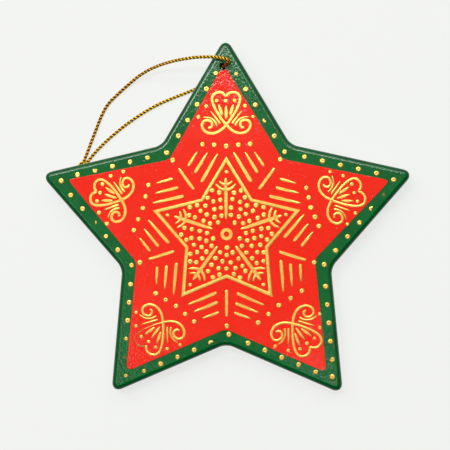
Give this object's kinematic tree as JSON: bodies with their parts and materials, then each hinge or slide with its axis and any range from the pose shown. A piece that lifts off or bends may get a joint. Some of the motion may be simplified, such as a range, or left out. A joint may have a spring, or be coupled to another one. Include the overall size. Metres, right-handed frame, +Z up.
{
  "type": "hanging star ornament",
  "caption": "Flat wooden star ornament with rounded edges, a red face in a green border, raised gold folk decoration and a knotted cord loop to hang it by.",
  "frame": {"origin": "on the surface the star lies on, under the middle of the board's outline", "axes": "+Z up out of the painted face, +Y towards the point with the hole, +X to the right as the face is seen"},
  "size_m": [0.1, 0.0953, 0.0115],
  "materials": {
    "green_enamel": "brushed glossy green enamel on wood",
    "red_enamel": "brushed glossy red enamel",
    "gold_paint": "raised satin gold paint, laid by hand",
    "gold_cord": "twisted metallic gold thread"
  },
  "bodies": {
    "board": {"star_board": "green_enamel", "red_field": "red_enamel", "centre_ring": "gold_paint", "line_star": "gold_paint", "snowflake_arm_1": "gold_paint", "snowflake_arm_2": "gold_paint", "snowflake_arm_3": "gold_paint", "snowflake_arm_4": "gold_paint", "snowflake_arm_5": "gold_paint", "heart_scroll_1": "gold_paint", "heart_scroll_2": "gold_paint", "heart_scroll_3": "gold_paint", "heart_scroll_4": "gold_paint", "heart_scroll_5": "gold_paint", "ray_1_right_1": "gold_paint", "ray_1_right_2": "gold_paint", "ray_1_right_3": "gold_paint", "ray_1_left_1": "gold_paint", "ray_1_left_2": "gold_paint", "ray_1_left_3": "gold_paint", "ray_1_notch": "gold_paint", "ray_2_right_1": "gold_paint", "ray_2_right_2": "gold_paint", "ray_2_right_3": "gold_paint", "ray_2_left_1": "gold_paint", "ray_2_left_2": "gold_paint", "ray_2_left_3": "gold_paint", "ray_2_notch": "gold_paint", "ray_3_right_1": "gold_paint", "ray_3_right_2": "gold_paint", "ray_3_right_3": "gold_paint", "ray_3_left_1": "gold_paint", "ray_3_left_2": "gold_paint", "ray_3_left_3": "gold_paint", "ray_3_notch": "gold_paint", "ray_4_right_1": "gold_paint", "ray_4_right_2": "gold_paint", "ray_4_right_3": "gold_paint", "ray_4_left_1": "gold_paint", "ray_4_left_2": "gold_paint", "ray_4_left_3": "gold_paint", "ray_4_notch": "gold_paint", "ray_5_right_1": "gold_paint", "ray_5_right_2": "gold_paint", "ray_5_right_3": "gold_paint", "ray_5_left_1": "gold_paint", "ray_5_left_2": "gold_paint", "ray_5_left_3": "gold_paint", "ray_5_notch": "gold_paint"},
    "loop": {"cord_front_strand": "gold_cord", "cord_back_strand": "gold_cord", "cord_knot": "gold_cord"}
  },
  "joints": [
    {"name": "loop_swing", "type": "hinge", "parent": "board", "child": "loop", "pos_m": [-0.00065, 0.04101, 0.005], "axis": [0, 0, 1], "range_deg": [-180, 0]}
  ]
}
